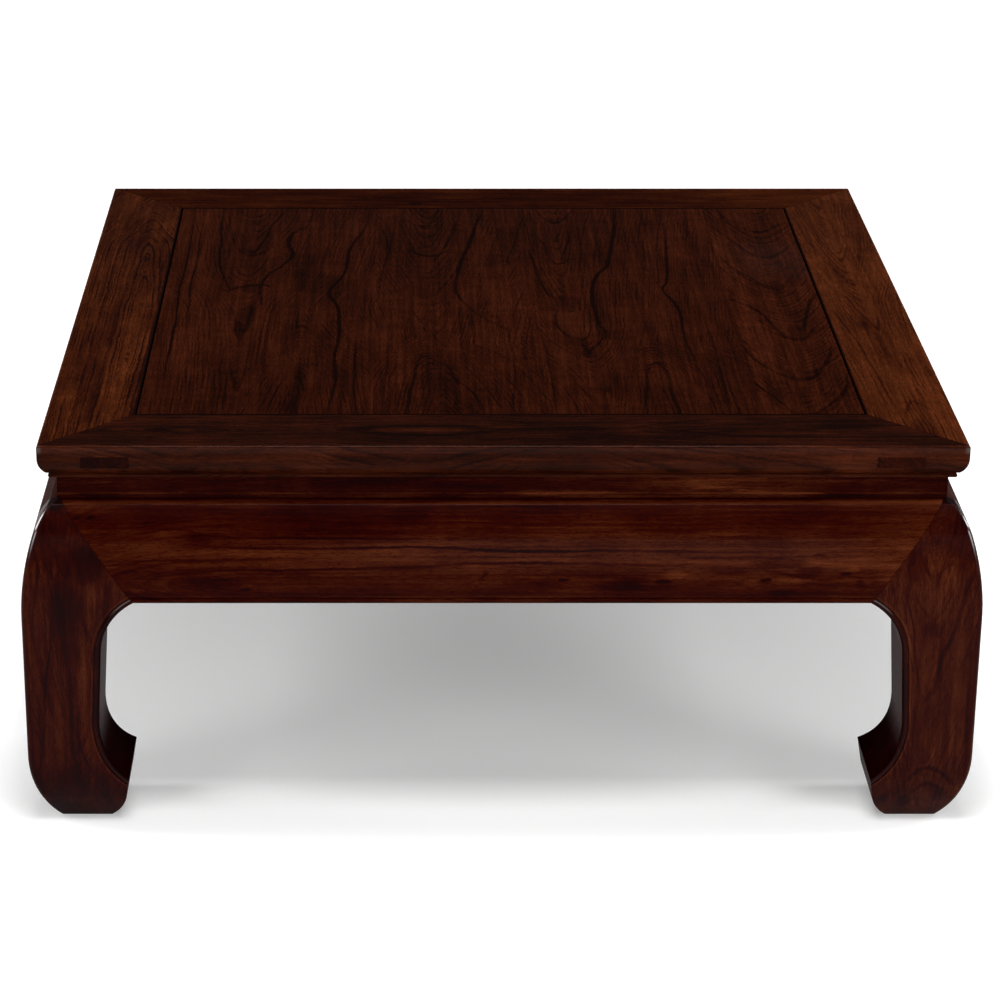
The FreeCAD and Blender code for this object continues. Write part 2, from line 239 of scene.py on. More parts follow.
soft_lamp("lamp_overhead", (0.0, -1.25, 2.9), (0, -0.2, 0.3), (1.3, 0.8), 50)
soft_lamp("lamp_front_left", (-2.9, -2.7, 1.2), (0, 0, 0.25), (1.4, 1.4), 46)
soft_lamp("lamp_front_right", (2.9, -2.7, 1.2), (0, 0, 0.25), (1.4, 1.4), 60)
soft_lamp("lamp_strip_left", (-2.6, -0.1, 1.7), (0, 0, 0.35), (0.45, 1.2), 30)
soft_lamp("lamp_strip_right", (2.6, -0.1, 1.7), (0, 0, 0.35), (0.45, 1.2), 30)
soft_lamp("window_in_front", (0.4, -7.0, 1.3), (0, 0, 0.3), (7.0, 1.8), 12)

# %% [markdown]
# ## What makes this wood look like itself
# The table is cut from a heavy dark rosewood-like timber. Close up it has four layers. Growth
# rings, cut at a slant by the saw, draw nested crowns along the middle of a plank and straight
# lines at its sides. Between them run fibres, long and very thin. Open pores show as short dark
# scratches along the fibres. And over all of it the colour drifts from orange brown to a purple
# black. Each layer is a noise stretched along the grain by its own amount, so the layers are
# written once, in a frame that has its first axis along the grain, and every piece turns that
# frame its own way.

# %% Noise stretched along the grain
def grain_noise(grain, stretch, detail=2.0, seed=0.0):
    """Noise from 0 to 1; stretch is how many waves it has in a metre along, across and down."""
    shader = grain.shader
    place = shader.node("VectorMath", {"operation": "MULTIPLY_ADD"},
                        {0: grain, 1: stretch, 2: (seed, seed * 1.7, seed * 0.3)})
    return shader.node("TexNoise", {"noise_dimensions": "3D"},
                       {"Vector": place, "Scale": 1.0, "Detail": detail, "Roughness": 0.55})


def ring_noise(rings, waves, detail=1.0, seed=0.0):
    """Noise that is the same all along one growth ring."""
    shader = rings.shader
    return shader.node("TexNoise", {"noise_dimensions": "1D"},
                       {"W": rings * waves + seed, "Scale": 1.0, "Detail": detail})


print("two noises:", grain_noise.__doc__.split(";")[0], "/", ring_noise.__doc__)

# %% [markdown]
# ## Crowns in a plank
# A crown, or cathedral, is what the saw leaves when it cuts along the side of the trunk: each
# ring is a long pointed arch. Distance from the middle line of the plank, plus a height that
# changes along the plank, has just such arches as its contour lines. Both the middle line and
# the height are drawn as curves through a few points, measured on the photograph in
# millimetres, and a ramp across the result says which contours are dark veins. The points are a
# maker's sketch of the figure and hold no colours.

# %% Curves and crowns
CURVE_LOW, CURVE_HIGH = -250.0, 1000.0
RAMP_REACH = 220.0


def drawn_curve(along_mm, points):
    """A value in millimetres drawn as a smooth curve over the millimetres along a piece."""
    span = CURVE_HIGH - CURVE_LOW
    shares = [((a - CURVE_LOW) / span, (b - CURVE_LOW) / span) for a, b in points]
    shares = [(0.0, shares[0][1])] + shares + [(1.0, shares[-1][1])]
    entry = (along_mm - CURVE_LOW) * (1 / span)
    drawn = along_mm.shader.node("FloatCurve", {"curve": shares}, {"Value": entry})
    return drawn * span + CURVE_LOW


def crowns(along_mm, across_mm, middle, height, blunt=6.0):
    """Millimetres whose contour lines are the crowns of a plank."""
    off = across_mm - drawn_curve(along_mm, middle)
    spread = (off * off + blunt * blunt) ** 0.5 - blunt
    return spread + drawn_curve(along_mm, height)


def vein_stops(lines):
    """Ramp stops for dark veins: each has its contour in millimetres, its darkness and width."""
    stops = [(0.0, 0.0)]
    for contour, dark, width in sorted(lines):
        for place, shade in ((-width * 3, 0.0), (-width, dark * 0.35), (0.0, dark), (width, 0.0)):
            share = (contour + place + RAMP_REACH) / (2 * RAMP_REACH)
            stops.append((min(max(share, stops[-1][0] + 0.0005), 0.999), float(shade)))
    return stops + [(1.0, 0.0)]


def veins(rings_mm, lines):
    entry = (rings_mm + RAMP_REACH) * (1 / (2 * RAMP_REACH))
    return rings_mm.shader.node("ValToRGB", {"stops": vein_stops(lines)}, {"Fac": entry})


print("a crown is drawn up to", RAMP_REACH, "mm to each side of its middle ring")

# %% [markdown]
# ## The timber
# One recipe serves the whole table. It takes the frame of the grain and the rings of a piece,
# adds fibres, pores and drift, and turns their sum into colour with a ramp from the light early
# wood to the nearly black vein. End grain, which drinks more polish, goes darker. The same
# fibres and pores give the polish its slightly uneven gloss and a shallow relief of a few
# hundredths of a millimetre. A drawing may also name dull places that no wax has reached: there
# a second shader without gloss is mixed in.

# %% Colours of the timber, in linear light
def palette(*shades):
    """Ramp stops from the light early wood to the nearly black vein."""
    return list(zip((0.00, 0.18, 0.34, 0.55, 0.80, 1.00), shades))


TIMBER = palette(
    (0.09, 0.019, 0.0048), (0.054, 0.0112, 0.0022), (0.038, 0.007, 0.0012),
    (0.0215, 0.0029, 0.0005), (0.0095, 0.0011, 0.0005), (0.004, 0.0006, 0.0006))
BROWN_TIMBER = palette(
    (0.09, 0.019, 0.0058), (0.056, 0.011, 0.0034), (0.039, 0.0072, 0.0021),
    (0.0225, 0.0038, 0.0011), (0.011, 0.0018, 0.0006), (0.005, 0.0009, 0.0004))
RED_TIMBER = palette(
    (0.09, 0.019, 0.006), (0.056, 0.0105, 0.003), (0.039, 0.0062, 0.0014),
    (0.024, 0.0018, 0.0003), (0.012, 0.0003, 0.0002), (0.006, 0.0002, 0.0002))
GLOSS_ROUGHNESS = 0.30
SPECULAR_LEVEL = 0.022
FIBRE_RELIEF = 0.036
COAT_ROUGHNESS = 0.12
BARE_ROUGHNESS = 0.9
MIDDLE_DARK = 0.42
DRIFT, PATCH, STREAK, FIBRE, PORE, END_GRAIN = 0.50, 0.55, 0.75, 0.62, 0.22, 0.38
PLAIN_LOOK = dict(stops=TIMBER, tone=0.0, seed=0.0, ring_width=6.0, ring_dark=0.26,
                  streaky=1.0, patchy=1.0, mottle=0.10, specular=SPECULAR_LEVEL)
print("a plain piece looks like", PLAIN_LOOK)

# %% The timber itself
def timber(shader, grain, end_facing, drawing, look):
    """Finishes one piece of timber: adds its colour, gloss and relief to its material."""
    rings_mm, polished = drawing["rings"], drawing["polished"]
    seed = look["seed"]
    drift = grain_noise(grain, (2.5, 8, 8), 2.0, seed)
    patch = grain_noise(grain, (14, 34, 34), 2.0, seed + 5)
    fade = grain_noise(grain, (9, 60, 60), 1.0, seed + 6)
    fibres = grain_noise(grain, (90, 900, 900), 3.0, seed + 2)
    streaks = grain_noise(grain, (8, 240, 240), 3.0, seed + 3)
    pores = step(grain_noise(grain, (220, 1100, 1100), 1.0, seed + 7), 0.55, 0.68)
    mottle = grain_noise(grain, (70, 25, 25), 1.0, seed + 8)
    turns = rings_mm * (1 / look["ring_width"]) + ring_noise(rings_mm, 0.05, 1.0, seed) * 3
    late = turns.math("FRACT", turns)
    line = step(late, 0.50, 0.84) * (1 - step(late, 0.86, 0.98))
    line = line * step(fade, 0.36, 0.60)
    dark = (drift - 0.5) * DRIFT + (patch - 0.5) * (PATCH * look["patchy"])
    dark = dark + (MIDDLE_DARK + look["tone"])
    dark = dark + line * look["ring_dark"] + drawing["figure"] * (fade * 1.2)
    dark = dark + (streaks - 0.5) * (STREAK * look["streaky"]) + (fibres - 0.5) * FIBRE
    dark = dark + (mottle - 0.5) * look["mottle"] + pores * PORE
    dark = dark + end_facing * END_GRAIN + drawing["shade"]
    colour = shader.node("ValToRGB", {"stops": look["stops"]}, {"Fac": dark})
    askance = shader.node("LayerWeight", {}, {"Blend": 0.5}, output="Facing")
    gloss = (fibres - 0.5) * 0.20 + pores * 0.12 + end_facing * 0.15 + GLOSS_ROUGHNESS
    gloss = gloss * (1 - polished * 0.4) + step(askance, 0.72, 0.95) * (1 - polished) * 0.45
    relief_mm = (fibres * 0.5 - pores * 0.6 - line * 0.15) * FIBRE_RELIEF + drawing["carving"]
    relief = shader.node("Bump", {}, {"Strength": 1.0, "Distance": 0.001, "Height": relief_mm})
    wood = shader.node("BsdfPrincipled", {}, {
        "Base Color": colour, "Roughness": gloss, "Normal": relief,
        "Specular IOR Level": look["specular"], "Coat Weight": drawing["burnish"],
        "Coat Roughness": COAT_ROUGHNESS})
    if isinstance(drawing["dull"], Link):
        bare = shader.node("BsdfPrincipled", {}, {
            "Base Color": colour, "Roughness": BARE_ROUGHNESS, "Normal": relief,
            "Specular IOR Level": 0.0})
        wood = shader.node("MixShader", {}, {0: drawing["dull"], 1: wood, 2: bare})
    shader.node("OutputMaterial", {}, {"Surface": wood})


def finish(node, grain_axis, draw, **look):
    """Makes the timber of one piece: draw gives its rings, dark figure, shade and burnish."""
    material = bpy.data.materials.new(node + "_timber")
    shader = Shader(material)
    x, y, z = axes(shader.node("TexCoord", {}, {}, output="Object"))
    order = {"X": (x, y, z), "Y": (y, x, z), "Z": (z, x, y)}[grain_axis]
    facing = axes(shader.node("TexCoord", {}, {}, output="Normal"))
    end_facing = step(abs(facing["XYZ".index(grain_axis)]), 0.75, 0.95)
    timber(shader, joined(order), end_facing, draw(x, y, z), {**PLAIN_LOOK, **look})
    for slot in pieces[node].material_slots:
        slot.material = material
    print(material.name, "made")


print("timber and", finish.__name__, "are ready")

# %% Distances on the table in millimetres
HALF = 457.2
TOP_HEIGHT = 406.4


def from_left(x):
    return x * 1000 + HALF


def from_back(y):
    return HALF - y * 1000


def from_edge(v):
    """In from the nearer of the two edges that this distance runs between."""
    return HALF - abs(v * 1000)


def height(z):
    return z * 1000


print("the top is", 2 * HALF, "mm square and", TOP_HEIGHT, "mm high")

# %% A ragged hand for drawing veins
def waver(x, y, z, waves, reach, seed=0.0):
    """A slow wander of the grain, in millimetres to either side."""
    noise = grain_noise(joined((x, y, z)), waves, 2.0, seed)
    return (noise - 0.5) * (2 * reach)


def along_waves(axis, waves_along, waves_across):
    return tuple(waves_along if axis == name else waves_across for name in "XYZ")


def jitter(x, y, z, axis, seed):
    """The raggedness of a vein where the fibres cross it, in millimetres."""
    return (waver(x, y, z, along_waves(axis, 12, 34), 3.0, seed)
            + waver(x, y, z, along_waves(axis, 70, 170), 1.3, seed + 1)
            + waver(x, y, z, along_waves(axis, 240, 520), 0.9, seed + 2))


# A drawn vein and a ring line, against what their sketches say: wider, and paler.
VEIN_WIDTH, VEIN_DARK, LINE_DARK = 2.1, 0.48, 0.6


def stroke(run_mm, side_mm, points, dark, width):
    """One dark vein, drawn as a curve through points; it fades in and out at its two ends."""
    middle = drawn_curve(run_mm, points)
    width, dark = width * VEIN_WIDTH, dark * VEIN_DARK
    near = 1 - step(abs(side_mm - middle), width * 0.1, width)
    start, end = points[0][0], points[-1][0]
    fading = min(12.0, (end - start) * 0.3)
    strength = drawn_curve(run_mm, [(start - fading * 0.5, 0), (start + fading * 0.5, 100 * dark),
                                    (end - fading * 0.5, 100 * dark), (end + fading * 0.5, 0)])
    return near * strength * 0.01


def smudge(along_mm, across_mm, centre, radii):
    """1 in the middle of a knot or a dark flame, falling to 0 at its rim."""
    off = (along_mm - centre[0]) * (1 / radii[0])
    side = (across_mm - centre[1]) * (1 / radii[1])
    return 1 - step(off * off + side * side, 0.0, 1.3)


def total(parts, x, y, z):
    """The sum of some functions of x, y and z; 0 when there are none."""
    added = 0.0
    for part in parts:
        added = part(x, y, z) + added
    return added


print("a vein is drawn", VEIN_WIDTH, "times as wide as its sketch and", VEIN_DARK, "as dark")

# %% A whole drawing
def sketch_on(axis, place, sketches, lines, smudges=(), seed=0.0, shades=(), burnished=(),
              strokes=(), arches=(), carved=(), polished=(), dull=()):
    """A drawing for finish: crowns, dark veins, smudges and joint lines of one piece.

    place gives the piece's millimetres along and across its grain. Each sketch has the points of
    a crown's middle line and of its height, each smudge its centre, its radii and its darkness,
    which is negative for a light patch. A stroke is a vein along the grain, an arch one across.
    The rest are functions of x, y and z whose results are added: shades are the darkness of
    joints, dirt and wear, and also painted shade and painted highlights; burnished says where
    rubbing has left a hard gloss, polished where the surface was scraped smooth, dull where no
    wax has reached; carved is a relief in millimetres.
    """
    def draw(x, y, z):
        along_mm, across_mm = place(x, y, z)
        across_mm = across_mm + waver(x, y, z, along_waves(axis, 6, 14), 2.5, seed + 20)
        rings = None
        for middle, crown_height, *blunt in sketches:
            crown = crowns(along_mm, across_mm, middle, crown_height, *blunt)
            rings = crown if rings is None else rings.math("SMOOTH_MIN", rings, crown, 8.0)
        rough = jitter(x, y, z, axis, seed)
        rings = rings + rough
        figure = veins(rings, lines) * LINE_DARK
        for points, dark, width in strokes:
            figure = figure.most(stroke(along_mm, across_mm + rough * 0.8, points, dark, width))
        for points, dark, width in arches:
            figure = figure.most(stroke(across_mm, along_mm + rough * 2.2, points, dark, width))
        shade = total(shades, x, y, z)
        for centre, radii, dark in smudges:
            mark = smudge(along_mm + rough * 2, across_mm + rough, centre, radii)
            if dark > 0:
                figure = figure.most(mark * dark)
            else:
                shade = mark * dark + shade
        return dict(rings=rings, figure=figure, shade=shade, burnish=total(burnished, x, y, z),
                    polished=total(polished, x, y, z), carving=total(carved, x, y, z),
                    dull=total(dull, x, y, z))
    return draw


print(sketch_on.__doc__.split(":")[0])

# %% [markdown]
# ## The panel's four boards
# The panel is edge joined from four boards of unlike width, all with the grain from front to
# back. The photograph shows crowns that point to the front in the rear half and to the back in
# the front half, as in a plank from a trunk with a slight bend, so the height curve of each
# board climbs to a top about half way and falls again. One long vein runs down every board.

# %% Joints and wear of the panel
OPENING_HALF = 367.2


def on_boards(x, y, z):
    return from_back(y), from_left(x) + (height(z) - TOP_HEIGHT) * 0.3


def panel_gap(x, y, z):
    """Dirt and shadow in the gap that lets the panel swell."""
    return hairline(abs(x).most(abs(y)) * 1000 - OPENING_HALF, 2.4) * 0.8


def front_third(x, y, z):
    """The front third of the panel is a little darker."""
    return step(from_back(y), 500, 760) * 0.07


def pale_edge(x, y, z):
    """Straight, paler sapwood along the left edge of the first board."""
    return (1 - step(from_left(x), 128, 150)) * -0.09


def worn_patch(x, y, z):
    """A patch of old wax towards the back of the last board."""
    back = step(from_back(y), 200, 270) * (1 - step(from_back(y), 330, 400))
    return step(from_left(x), 720, 775) * back * 0.16


def finish_board(name, tone, seed, crowns, lines, strokes, arches, smudges):
    drawing = sketch_on("Y", on_boards, crowns, lines, smudges, seed,
                        [panel_gap, front_third, pale_edge], [worn_patch], strokes, arches)
    finish(name, "Y", drawing, stops=BROWN_TIMBER, tone=tone, seed=seed, ring_width=4.4,
           ring_dark=0.30, streaky=1.05, patchy=0.6, mottle=0.22, specular=0.011)


print("the opening of the frame is", 2 * OPENING_HALF, "mm square")

# %% First board from the left
finish_board("panel_board_1", tone=0.08, seed=3.0, crowns=[
    ([(110, 186), (320, 182), (900, 190)], [(100, -60), (137, -56), (224, -42), (375, -24),
     (425, 0), (470, 12), (560, 18), (914, 24)], 14.0),
    ([(560, 250), (914, 246)], [(560, 60), (640, 24), (685, 0), (740, -10), (914, -22)], 8.0)
], lines=[(38, 0.4, 1.2), (64, 0.4, 1.2), (92, 0.4, 1.2)], strokes=[
    ([(90, 143), (239, 145), (316, 149), (362, 154), (418, 164)], 0.56, 1.3),
    ([(90, 250), (143, 248), (168, 244), (185, 233), (227, 224), (285, 230), (324, 220),
     (354, 208), (397, 200), (470, 202)], 0.7, 1.6),
    ([(90, 150), (212, 158), (262, 168), (284, 180)], 0.35, 1.1),
    ([(90, 218), (154, 204), (220, 196), (308, 181)], 0.42, 1.2),
    ([(90, 318), (170, 314), (258, 298), (331, 295), (370, 289), (404, 280), (431, 277),
     (470, 285), (566, 290), (662, 287), (739, 289), (826, 283)], 0.56, 1.3),
    ([(535, 310), (739, 308), (826, 312)], 0.42, 1.1),
    ([(600, 234), (680, 240), (760, 228), (826, 222)], 0.21, 1.1),
    ([(90, 108), (826, 112)], 0.28, 0.9), ([(90, 121), (300, 120), (560, 124)], 0.32, 0.9)
], arches=[
    ([(164, 416), (170, 409), (179, 404), (200, 397), (212, 404)], 1.17, 3.5),
    ([(165, 258), (172, 275), (182, 284), (192, 277), (200, 258)], 1.17, 2.9),
    ([(168, 120), (180, 128), (192, 119)], 0.78, 2.6),
    ([(164, 133), (180, 144), (196, 133)], 0.65, 2.6)
], smudges=[
    ((270, 177), (18, 10), 0.33), ((500, 188), (42, 12), 0.39), ((548, 183), (32, 11), 0.42),
    ((345, 250), (75, 22), 0.2), ((745, 249), (78, 10), 0.45), ((810, 244), (38, 12), 0.33),
    ((415, 192), (15, 18), 0.23)
])

# %% Second board
finish_board("panel_board_2", tone=0.07, seed=11.0, crowns=[
    ([(100, 388), (402, 389), (544, 392), (914, 394)], [(100, -52), (169, -40), (285, -26),
     (544, 20), (914, 40)], 16.0),
    ([(560, 386), (658, 388), (828, 400), (914, 404)], [(480, 60), (600, 18), (640, -10),
     (828, -54), (914, -70)], 10.0)
], lines=[(-58, 0.3, 1.2), (56, 0.4, 1.2)], strokes=[
    ([(90, 404), (164, 391)], 0.49, 1.3), ([(150, 368), (166, 377)], 0.42, 1.3),
    ([(185, 393), (231, 393)], 0.42, 1.7), ([(254, 360), (274, 369), (287, 384)], 0.63, 1.4),
    ([(100, 428), (181, 420), (231, 412), (270, 402), (286, 391)], 0.49, 1.4),
    ([(90, 452), (174, 445), (258, 435), (354, 421), (404, 418), (424, 419), (477, 431),
     (516, 446), (560, 472)], 0.63, 1.6), ([(90, 352), (470, 330)], 0.24, 1.1),
    ([(638, 378), (700, 371), (826, 363)], 0.49, 1.4),
    ([(640, 380), (655, 389), (670, 404), (708, 412), (762, 431), (826, 441)], 0.63, 1.6),
    ([(556, 388), (581, 393), (612, 404)], 0.42, 1.2), ([(600, 344), (826, 338)], 0.28, 1.0),
    ([(560, 472), (640, 476), (826, 470)], 0.28, 1.1)
], arches=[
    ([(377, 166), (384, 168), (391, 164)], 0.91, 3.1),
    ([(364, 258), (374, 277), (386, 288), (398, 286), (410, 266)], 1.3, 3.1)
], smudges=[
    ((230, 352), (112, 20), 0.18), ((500, 438), (62, 15), 0.2), ((700, 398), (75, 25), 0.18)
])

# %% Third board
finish_board("panel_board_3", tone=0.06, seed=23.0, crowns=[
    ([(110, 542), (320, 540), (600, 552), (640, 556), (914, 561)], [(100, -66), (154, -60),
     (318, -47), (500, -28), (580, -18), (700, 20), (914, 50)], 9.0),
    ([(560, 624), (914, 621)], [(560, 70), (630, 30), (670, 0), (760, -10), (914, -16)], 7.0)
], lines=[(40, 0.3, 1.2), (88, 0.5, 1.2)], strokes=[
    ([(90, 521), (131, 529), (152, 540)], 0.63, 1.4),
    ([(90, 568), (139, 550), (152, 543)], 0.63, 1.4),
    ([(200, 495), (300, 509), (373, 513), (431, 523), (454, 531)], 0.56, 1.4),
    ([(180, 514), (246, 525), (300, 530), (314, 534)], 0.42, 1.3),
    ([(110, 566), (204, 558), (254, 550), (304, 546), (316, 541)], 0.42, 1.3),
    ([(90, 616), (300, 598), (331, 592), (358, 581), (393, 575), (539, 573), (562, 577),
     (600, 569), (638, 557)], 0.7, 1.8),
    ([(488, 529), (527, 527), (566, 533), (588, 542), (604, 551), (640, 554)], 0.63, 1.6),
    ([(150, 672), (300, 665), (389, 656), (412, 650), (462, 660), (508, 664), (562, 662),
     (700, 668)], 0.49, 1.3),
    ([(672, 621), (680, 617), (708, 612), (747, 608), (826, 604)], 0.7, 1.6),
    ([(672, 629), (685, 634), (720, 635), (758, 633), (826, 637)], 0.7, 1.6),
    ([(550, 508), (662, 512), (826, 514)], 0.35, 1.1), ([(560, 692), (826, 690)], 0.28, 1.0)
], arches=[
    ([(616, 674), (625, 668), (634, 674)], 1.17, 3.5),
    ([(526, 300), (533, 313), (540, 319), (547, 313), (553, 298)], 1.04, 2.6),
    ([(526, 128), (534, 146), (542, 154), (551, 145), (560, 126)], 1.17, 2.9)
], smudges=[
    ((458, 542), (30, 15), 0.52), ((491, 544), (6.2, 5), 0.65), ((490, 573), (78, 9), 0.39),
    ((566, 576), (32, 9), 0.39), ((596, 548), (20, 12), 0.33), ((635, 555), (18, 6.2), 0.39),
    ((745, 577), (50, 20), 0.23), ((300, 697), (138, 11), 0.2), ((200, 574), (100, 18), 0.13)
])

# %% Fourth board
finish_board("panel_board_4", tone=-0.01, seed=31.0, crowns=[
    ([(100, 786), (198, 785), (424, 777), (590, 783), (720, 771), (914, 766)], [(100, -160),
     (190, -130), (427, -60), (587, 0), (777, 66), (914, 100)], 26.0)
], lines=[
    (-150, 0.4, 1.4), (-100, 0.4, 1.4), (-80, 0.3, 1.4), (-30, 0.4, 1.6), (84, 0.5, 1.6)
], strokes=[
    ([(100, 742), (177, 762), (186, 770)], 0.63, 1.3),
    ([(223, 746), (266, 756), (293, 758)], 0.52, 1.2),
    ([(231, 765), (258, 771), (285, 773)], 0.52, 1.2),
    ([(335, 740), (373, 757), (427, 776)], 0.63, 1.4), ([(354, 804), (427, 778)], 0.63, 1.4),
    ([(446, 721), (474, 742), (504, 754), (554, 763), (580, 772)], 0.98, 1.7),
    ([(431, 821), (454, 813), (539, 796), (577, 792)], 0.98, 1.7),
    ([(581, 719), (631, 725), (670, 735), (700, 750), (718, 766)], 0.84, 1.6),
    ([(616, 815), (685, 798), (712, 784)], 0.84, 1.6), ([(697, 715), (826, 752)], 0.84, 1.5),
    ([(700, 821), (770, 806), (800, 788), (826, 776)], 0.7, 1.4)
], arches=[
    ([(773, 186), (785, 192), (798, 178), (812, 158)], 0.78, 3.5),
    ([(762, 566), (771, 581), (783, 588), (794, 580), (803, 562)], 1.3, 5.1),
    ([(752, 704), (767, 719), (785, 712), (797, 690)], 1.17, 4.6)
], smudges=[
    ((565, 783), (28, 12), 0.36), ((300, 785), (100, 40), 0.07), ((410, 778), (30, 20), 0.26)
])

# %% [markdown]
# ## The mitred frame
# Four wide rails frame the panel. Their grain runs round the table, so at each corner it turns a
# right angle on the mitre. The left rail has a tall narrow crown at its rear and ruled straight
# lines elsewhere, the right one a long V, the front one a row of knots with a dark heart, and
# the back one is plain. A mitre never closes so well that no dark hairline shows. The tenons of
# the side rails come through the front and back edges, where their end grain is darker than the
# moulding round it.

# %% Joints, wear and painted light of the rails
MITRE_WIDTH = 0.9
ARRIS_HEIGHT = 404.6


def mitre_lines(x, y, z):
    return hairline(from_edge(x) - from_edge(y), MITRE_WIDTH) * 0.45


def outer_rim(x, y):
    """1 along the outer edge of the top."""
    return 1 - step(from_edge(x).least(from_edge(y)), 0.5, 4.0)


def moulding(z):
    """1 below the arris, over the moulded edge of the top."""
    return 1 - step(height(z), ARRIS_HEIGHT - 2.1, ARRIS_HEIGHT - 0.6)


def painted_edge_light(x, y, z):
    """Painted light: a lighter moulding, and a painted highlight along the arris."""
    arris = outer_rim(x, y) * hairline(height(z) - ARRIS_HEIGHT, 2.6)
    return arris * -0.30 - moulding(z) * 0.17


def painted_right_edge_light(x, y, z):
    """Painted light: the right half of the front edge is lighter."""
    return moulding(z) * step(from_left(x), 460, 640) * -0.13


def burnished_arris(x, y, z):
    """A hard gloss along the arris, strongest at the corners, where most hands pass."""
    corner = 1 - step(from_edge(x).most(from_edge(y)), 2.0, 6.0)
    return outer_rim(x, y) * step(height(z), 396, 402) * (corner * 0.8 + 0.06)


def tenon_ends(darker):
    """The end grain of the through tenons has drunk more polish than the edge around it."""
    def shade(x, y, z):
        at_edge = (1 - step(from_edge(y), 8, 14)) * step(from_edge(x), 14, 18)
        return at_edge * (1 - step(height(z), 401, 403)) * darker
    return shade


# panel_gap is a dark gap with painted shadow, mitre_lines dark joints; the last paints light.
RAIL_SHADES = [panel_gap, mitre_lines, painted_edge_light]


def on_side_rail(x, y, z):
    return from_back(y), from_left(x) + (height(z) - TOP_HEIGHT) * 0.8


def on_front_rail(x, y, z):
    return from_left(x), from_back(y) - (height(z) - TOP_HEIGHT) * 0.8


print("each rail has", len(RAIL_SHADES), "kinds of joint and wear")

# %% The four rails
left_rail = sketch_on(
    "Y", on_side_rail,
    [([(0, 56), (230, 60), (400, 66), (914, 66)],
      [(0, 44), (100, 14), (137, 0), (187, -12), (224, -24), (300, -30), (914, -34)]),
     ([(230, 78), (914, 84)], [(200, 60), (297, 0), (400, -10), (914, -14)])],
    [(0, 1.0, 1.6), (-8, 0.8, 1.5), (-13, 1.0, 1.6), (-19, 1.0, 1.6), (-25, 0.7, 1.5),
     (8, 0.6, 1.4)],
    [((200, 57), (70, 14), 0.25), ((650, 70), (260, 24), -0.08)], 41.0,
    RAIL_SHADES + [tenon_ends(0.24)], [burnished_arris],
    [([(62, 34), (120, 31), (181, 27)], 0.6, 1.3)])
finish("rail_left", "Y", left_rail, tone=-0.10, seed=41.0, ring_width=4.4, ring_dark=0.54,
       mottle=0.16)

right_rail = sketch_on(
    "Y", on_side_rail,
    [([(0, 868), (393, 868), (520, 872), (700, 880), (914, 890)],
      [(0, -46), (100, -36), (250, -22), (393, 0), (450, 12), (914, 26)])],
    [(0, 0.5, 1.6), (-14, 0.35, 1.4), (-26, 0.3, 1.4), (14, 0.3, 1.4), (26, 0.3, 1.4)],
    [((543, 861), (20, 8), 0.4), ((870, 880), (40, 18), 0.25)], 47.0,
    RAIL_SHADES + [tenon_ends(0.19)], [burnished_arris],
    [([(781, 876), (800, 870), (829, 864)], 0.7, 1.6),
     ([(781, 876), (795, 883), (812, 889)], 0.7, 1.6)])
finish("rail_right", "Y", right_rail, tone=-0.27, seed=47.0, ring_width=4.0, ring_dark=0.34,
       streaky=0.9, patchy=0.7, mottle=0.14)

front_rail = sketch_on(
    "X", on_front_rail,
    [([(0, 868), (914, 872)],
      [(0, 14), (60, 8), (105, 0), (142, -6), (180, 0), (250, 9), (315, 0), (380, -9), (434, 0),
       (500, 10), (560, 6), (592, 0), (700, -13), (810, -22), (914, -32)])],
    [(0, 0.55, 1.8), (-6, 0.35, 1.4), (13, 0.3, 1.4), (24, 0.35, 1.4), (36, 0.3, 1.4),
     (50, 0.3, 1.4)],
    [((119, 867), (11, 4.5), 1.0), ((142, 870), (26, 8), 0.35), ((319, 867), (14, 4.5), 1.0),
     ((381, 870), (56, 7), -0.26), ((142, 869), (13, 5), -0.24), ((512, 866), (90, 8), 0.5),
     ((800, 855), (40, 18), 0.45), ((300, 905), (420, 9), -0.07)],
    53.0, RAIL_SHADES + [painted_right_edge_light], [burnished_arris],
    [([(590, 860), (620, 850), (667, 841)], 0.7, 1.8),
     ([(590, 860), (629, 872), (705, 886), (900, 888)], 0.7, 1.8),
     ([(296, 866), (330, 860), (381, 857), (430, 860), (456, 866)], 0.8, 3.0),
     ([(296, 869), (330, 878), (381, 883), (430, 879), (456, 870)], 0.8, 3.0),
     ([(122, 866), (142, 861), (164, 867)], 0.7, 2.4),
     ([(122, 872), (142, 878), (164, 871)], 0.7, 2.4)])
finish("rail_front", "X", front_rail, stops=BROWN_TIMBER, tone=0.225, seed=53.0,
       ring_width=5.0, mottle=0.16)

back_rail = sketch_on(
    "X", on_front_rail, [([(0, 30), (914, 60)], [(0, 0), (450, -14), (914, 0)])],
    [(0, 0.4, 1.2), (-10, 0.4, 1.2), (16, 0.5, 1.2)],
    [((376, 69), (9, 4), 1.0), ((724, 7), (6, 3), 0.8), ((860, 30), (200, 80), -0.26),
     ((450, 4), (460, 14), -0.10)], 59.0, RAIL_SHADES, [burnished_arris])
finish("rail_back", "X", back_rail, tone=0.035, seed=59.0, ring_width=5.0, specular=0.008)
